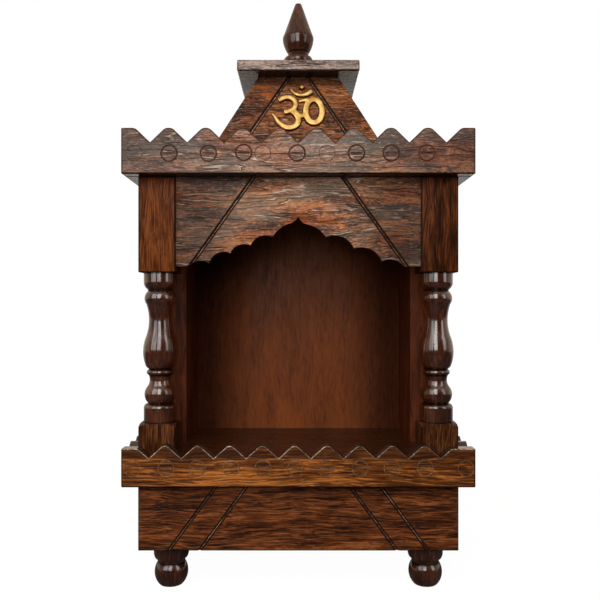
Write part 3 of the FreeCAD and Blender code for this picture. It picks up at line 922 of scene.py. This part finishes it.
# %% Brass finish
def brass_finish(name, out):
    """Satin brass, darker where its sides turn away from the roof's outward direction: painted
    shade, and dirt.
    """
    material, flow = new_finish(name)
    place = object_place(flow)
    facing = flow.node("ShaderNodeTexCoord", output="Normal")
    facing = flow.node(
        "ShaderNodeVectorMath", {"operation": "DOT_PRODUCT"}, {0: facing, 1: out}, output="Value"
    )
    cloudy = flow.node("ShaderNodeTexNoise", None, {"Vector": place, "Scale": 160.0, "Detail": 3.0})
    fine = flow.node("ShaderNodeTexNoise", None, {"Vector": place, "Scale": 1500.0, "Detail": 2.0})
    colour = cloudy.between(0.35, 0.7).mixed(screen(162, 124, 58), screen(204, 174, 112))
    # darker sides of the strokes: painted shade round the strokes, with some dirt
    colour = facing.between(0.45, 0.95).mixed(screen(72, 38, 6), colour)
    skin = {"Height": fine, "Strength": 0.25, "Distance": 0.1 * MM}
    bump = flow.node("ShaderNodeBump", None, skin)
    shader = flow.node(
        "ShaderNodeBsdfPrincipled",
        None,
        {
            "Base Color": colour,
            "Metallic": 1.0,
            "Roughness": 0.46 + cloudy * 0.15,
            "Normal": bump,
        },
    )
    close_finish(flow, shader)
    return material


# %% Strokes of the sign
# Each stroke is a row of points in millimetres: across, up, and half the stroke's width.
SIGN_STROKES = {
    "upper_bow": [
        (-18.3, 7.5, 1.9), (-13.6, 10.2, 2.0), (-9.3, 11.0, 2.0), (-5.2, 9.4, 2.0),
        (-2.5, 4.6, 2.0), (-3.0, 1.0, 2.0), (-5.2, -1.9, 2.0), (-8.5, -3.4, 2.0),
        (-13.0, -4.4, 2.0),
    ],
    "lower_bow": [
        (-5.2, -3.8, 2.0), (-2.0, -6.9, 2.3), (0.0, -11.2, 2.4), (-0.4, -15.4, 2.3),
        (-3.0, -18.6, 2.2), (-8.5, -20.0, 2.2), (-13.0, -18.8, 2.1), (-16.3, -16.2, 1.8),
        (-19.2, -12.4, 1.4), (-21.6, -8.2, 0.9), (-23.7, -5.7, 0.5),
    ],
    "link": [
        (-3.5, -3.3, 1.9), (0.1, -6.9, 2.0), (3.7, -8.1, 2.0), (6.2, -5.7, 2.0), (7.4, -1.4, 2.0),
        (7.8, 2.8, 2.0), (9.3, 7.0, 2.1),
    ],
    "start": [(0.6, 6.8, 0.8), (4.4, 8.0, 1.2), (9.0, 8.2, 1.8)],
    "crescent": [
        (-6.8, 20.0, 0.4), (-5.0, 17.2, 0.8), (-1.4, 14.4, 1.2), (3.3, 13.4, 1.5), (8.6, 14.6, 1.8),
        (12.6, 17.4, 1.9),
    ],
}
LOOP_CENTRE = (14.3, -3.4)
LOOP_REACH = (7.4, 11.85)
LOOP_HALF_WIDTH = 2.4
BAR_HEIGHT = 0.4     # of the middle of each bar above the roof
BAR_EXTRA = 0.8      # a bar is thicker than its stroke, because its rounded sides slope away
SIGN_FACE = 2.8      # where the bars are cut off flat
SIGN_HEIGHT = 2.6    # how high that face stands in the end


def stroke(points, closed=False):
    """A round bar through the points, as thick at each as its third number says."""
    curve = bpy.data.curves.new("stroke", "CURVE")
    curve.dimensions = "3D"
    curve.bevel_depth = 1.0
    curve.bevel_resolution = 6
    curve.resolution_u = 10
    curve.use_fill_caps = True
    way = curve.splines.new("BEZIER")
    way.bezier_points.add(len(points) - 1)
    way.use_cyclic_u = closed
    for point, (across, up, half) in zip(way.bezier_points, points):
        point.co = (across, up, BAR_HEIGHT)
        point.radius = half + BAR_EXTRA
        point.handle_left_type = point.handle_right_type = "AUTO"
    bar = bpy.data.objects.new("stroke", curve)
    mesh = bpy.data.meshes.new_from_object(bar)
    bpy.data.objects.remove(bar)
    return mesh


def loop_points():
    turns = [2 * math.pi * step / 12 for step in range(12)]
    return [
        (
            LOOP_CENTRE[0] + LOOP_REACH[0] * math.cos(turn),
            LOOP_CENTRE[1] + LOOP_REACH[1] * math.sin(turn),
            LOOP_HALF_WIDTH,
        )
        for turn in turns
    ]


def add_dot(shape, across, up, half):
    """A small four-sided stud that stands on one corner."""
    stud = bmesh.ops.create_cone(
        shape, cap_ends=True, segments=4, radius1=half, radius2=half * 0.6, depth=half * 0.8
    )["verts"]
    bmesh.ops.translate(shape, verts=stud, vec=(across, up, half * 0.4))


def sign_shape():
    shape = bmesh.new()
    bars = [stroke(points) for points in SIGN_STROKES.values()]
    bars.append(stroke(loop_points(), closed=True))
    for bar in bars:
        shape.from_mesh(bar)
    for vertex in shape.verts:
        vertex.co.z = min(vertex.co.z, SIGN_FACE)
    add_dot(shape, 3.5, 21.3, 3.6)
    return shape


def roof_place():
    """Where the sign sits: on the sloped face of the front roof board."""
    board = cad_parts["roof_front"].data
    low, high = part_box("roof_front")
    foot = min(v.co.y for v in board.vertices if v.co.z < low.z + 0.1 * MM)
    head = min(v.co.y for v in board.vertices if v.co.z > high.z - 0.1 * MM)
    up = Vector((0, head - foot, high.z - low.z)).normalized()
    out = Vector((0, -up.z, up.y))
    across = Vector((1, 0, 0))
    sign_low, sign_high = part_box("om_emblem")
    rise = (sign_low.z + sign_high.z) / 2 - low.z
    centre = Vector(((sign_low.x + sign_high.x) / 2, foot + up.y / up.z * rise, low.z + rise))
    turn = Matrix((across, up, out)).transposed().to_4x4()
    return Matrix.Translation(centre) @ turn


def brass_sign():
    shape = sign_shape()
    mesh = bpy.data.meshes.new("brass_sign")
    shape.to_mesh(mesh)
    shape.free()
    sign = bpy.data.objects.new("brass_sign", mesh)
    bpy.context.scene.collection.objects.link(sign)
    skin = sign.modifiers.new("cast", "REMESH")
    skin.mode = "VOXEL"
    skin.voxel_size = 0.3
    skin.use_smooth_shade = True
    soft = sign.modifiers.new("soften", "SMOOTH")
    soft.factor = 0.5
    soft.iterations = 5
    mesh = plain_mesh(sign)
    place = roof_place()
    mesh.transform(place @ Matrix.Diagonal((MM, MM, MM * SIGN_HEIGHT / SIGN_FACE, 1)))
    mesh.materials.append(brass_finish("satin_brass", place.col[2].to_3d()))
    claim(sign, ["om_emblem"])
    print("brass sign has", len(mesh.polygons), "faces")
    return sign


brass_sign()

# %% [markdown]
# ## Floor and light
# The shrine was photographed on pure white. The floor is a pale matt sheet that shows as white
# to the camera and keeps a faint shadow. Three soft boxes above the camera's height make the
# groups of highlights on the turned parts: one by the camera, one to its left, one to its right.
# A fourth one behind the shrine lights its back. The world is white to the camera. What the
# shrine mirrors is a warm room, light behind it and at its sides and dim in front of it.

# %% Floor
def ray_kinds(flow):
    """Two switches: 1 for a ray from the camera, and 1 for a ray from a gloss or a glass."""
    direct = flow.node("ShaderNodeLightPath", output="Is Camera Ray")
    rays = direct.socket.node.outputs
    mirrored = Flow(flow.tree, rays["Is Glossy Ray"]) + Flow(flow.tree, rays["Is Transmission Ray"])
    return direct, mirrored


def seen_directly(flow):
    """1 for what the camera shows, part of it in a gloss or a glass, 0 for light that spreads."""
    direct, mirrored = ray_kinds(flow)
    seen = direct + mirrored * (place_along(flow, "Y").between(0.1, 0.8) * 0.5 + 0.03)
    return seen.maths("MINIMUM", seen, 1.0)


def floor_finish():
    """Bright to the camera, with a faint shadow near the shrine. A dim sheet to the shrine."""
    material, flow = new_finish("white_floor")
    spread = flow.node("ShaderNodeBsdfDiffuse", None, {"Color": (0.1, 0.1, 0.1, 1)})
    lit = flow.node("ShaderNodeBsdfDiffuse", None, {"Color": (0.8, 0.8, 0.8, 1)})
    glow = flow.node("ShaderNodeEmission", None, {"Color": (1, 1, 1, 1), "Strength": 1.035})
    length = {"operation": "LENGTH"}
    away = flow.node("ShaderNodeVectorMath", length, {0: object_place(flow)}, output="Value")
    share = away.between(0.3, 0.9) * 0.06 + 0.94
    shown = flow.node("ShaderNodeMixShader", None, {0: share, 1: lit, 2: glow})
    both = flow.node("ShaderNodeMixShader", None, {0: seen_directly(flow), 1: spread, 2: shown})
    close_finish(flow, both)
    return material


def floor():
    shape = bmesh.new()
    bmesh.ops.create_circle(shape, cap_ends=True, segments=64, radius=4.0)
    mesh = bpy.data.meshes.new("floor")
    shape.to_mesh(mesh)
    shape.free()
    mesh.materials.append(floor_finish())
    sheet = bpy.data.objects.new("floor", mesh)
    bpy.context.scene.collection.objects.link(sheet)
    sheet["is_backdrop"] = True
    return sheet


floor()

# %% World and soft boxes
def studio_world():
    world = bpy.data.worlds.new("studio")
    world.use_nodes = True
    tree = world.node_tree
    tree.nodes.clear()
    flow = Flow(tree)
    toward = flow.node("ShaderNodeTexCoord", output="Generated")
    back = flow.node("ShaderNodeSeparateXYZ", None, {"Vector": toward}, output="Y")
    rise = Flow(tree, back.socket.node.outputs["Z"])
    direct, mirrored = ray_kinds(flow)
    in_gloss = (back + rise * 0.5).between(-0.9, 0.2) * 0.95 + 0.02
    strength = mirrored * in_gloss + (1 - mirrored) * 0.17
    room = flow.node(
        "ShaderNodeBackground", None, {"Color": (1.0, 0.84, 0.7, 1), "Strength": strength}
    )
    paper = flow.node("ShaderNodeBackground", None, {"Color": (1, 1, 1, 1), "Strength": 1.0})
    light = flow.node("ShaderNodeMixShader", None, {0: direct, 1: room, 2: paper})
    end = tree.nodes.new("ShaderNodeOutputWorld")
    tree.links.new(light.socket, end.inputs["Surface"])
    bpy.context.scene.world = world


BOX_TINT = (1.0, 0.98, 0.96)
AIM = Vector((0, 0, 0.25))


def soft_box(name, place, width, height, glow):
    """A lit panel that faces the shrine. Its glow is how bright it looks, whatever its size."""
    lamp = bpy.data.lights.new(name, "AREA")
    lamp.shape = "RECTANGLE"
    lamp.size = width
    lamp.size_y = height
    lamp.energy = glow * math.pi * width * height
    lamp.color = BOX_TINT
    box = bpy.data.objects.new(name, lamp)
    box.location = place
    box.rotation_euler = (Vector(place) - AIM).to_track_quat("Z", "Y").to_euler()
    box.visible_camera = False
    bpy.context.scene.collection.objects.link(box)
    print(name, round(lamp.energy, 1), "W")


studio_world()
soft_box("left_box", (-0.6, -0.72, 0.61), 0.56, 0.78, 3.4)
soft_box("near_box", (-0.08, -0.76, 0.61), 0.34, 0.78, 6.5)
soft_box("right_box", (0.85, -0.66, 0.61), 0.36, 0.78, 3.0)
soft_box("back_box", (0.1, 0.9, 0.75), 0.8, 0.5, 2.0)
bpy.context.scene.view_settings.view_transform = "Standard"

# %% Measure and finish
shown_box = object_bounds()
for corner, (was, now) in zip(("low", "high"), zip(model_box, shown_box)):
    print(corner, "corner moved by", [round((n - w) / MM, 2) for w, n in zip(was, now)], "mm")
